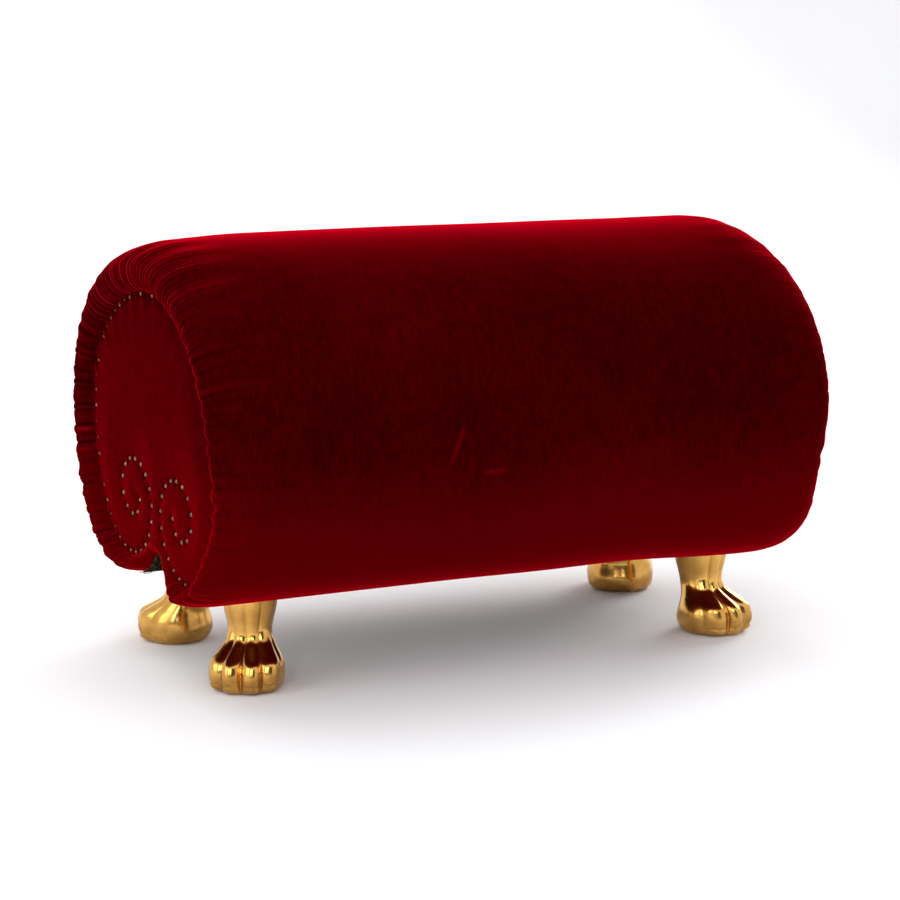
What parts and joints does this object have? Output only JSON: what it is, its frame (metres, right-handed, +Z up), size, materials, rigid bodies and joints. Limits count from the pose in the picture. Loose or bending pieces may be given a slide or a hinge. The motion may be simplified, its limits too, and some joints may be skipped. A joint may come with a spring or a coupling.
{
  "type": "upholstered footstool",
  "caption": "Roll-shaped upholstered footstool in crimson velvet with gathered end rolls, nailed scroll end panels and cast paw feet.",
  "frame": {"origin": "on the floor, at the centre of the rectangle of the four legs", "axes": "+X runs along the roll to the right end, +Y to the rear, +Z up"},
  "size_m": [0.7712, 0.506, 0.491],
  "materials": {
    "plywood": "sanded plywood",
    "beech": "planed timber",
    "zinc_steel": "bright zinc",
    "foam": "open-cell foam",
    "wadding": "soft wadding",
    "velvet": "crimson cut velvet",
    "panel_velvet": "crimson cut velvet, stretched",
    "nail_metal": "aged, slightly dulled",
    "lining_cloth": "dark mottled woven cloth",
    "felt": "dense felt",
    "gilt_metal": "polished, light wear near the floor"
  },
  "bodies": {
    "root": {"end_board_left": "plywood", "end_board_right": "plywood", "middle_former": "plywood", "foot_rail_front": "beech", "foot_rail_rear": "beech", "side_rail_front": "beech", "side_rail_rear": "beech", "shoulder_rail_front": "beech", "shoulder_rail_rear": "beech", "top_rail": "beech", "keel_rail": "beech", "bent_skin": "plywood", "frame_screws": "zinc_steel", "foam_wrap": "foam", "wadding": "wadding", "end_roll_left": "foam", "end_roll_right": "foam", "end_pad_left": "wadding", "end_pad_right": "wadding", "end_panel_left": "panel_velvet", "end_panel_right": "panel_velvet", "velvet_cover": "velvet", "nails_left": "nail_metal", "nails_right": "nail_metal", "groove_lining": "lining_cloth", "lining_staples": "zinc_steel", "mounting_plates": "zinc_steel", "plate_screws": "zinc_steel", "tee_nuts": "zinc_steel", "foot_bolt_front_left": "zinc_steel", "foot_bolt_front_right": "zinc_steel", "foot_bolt_rear_left": "zinc_steel", "foot_bolt_rear_right": "zinc_steel", "foot_front_left": "gilt_metal", "foot_front_right": "gilt_metal", "foot_rear_left": "gilt_metal", "foot_rear_right": "gilt_metal", "felt_front_left": "felt", "felt_front_right": "felt", "felt_rear_left": "felt", "felt_rear_right": "felt"}
  },
  "joints": []
}
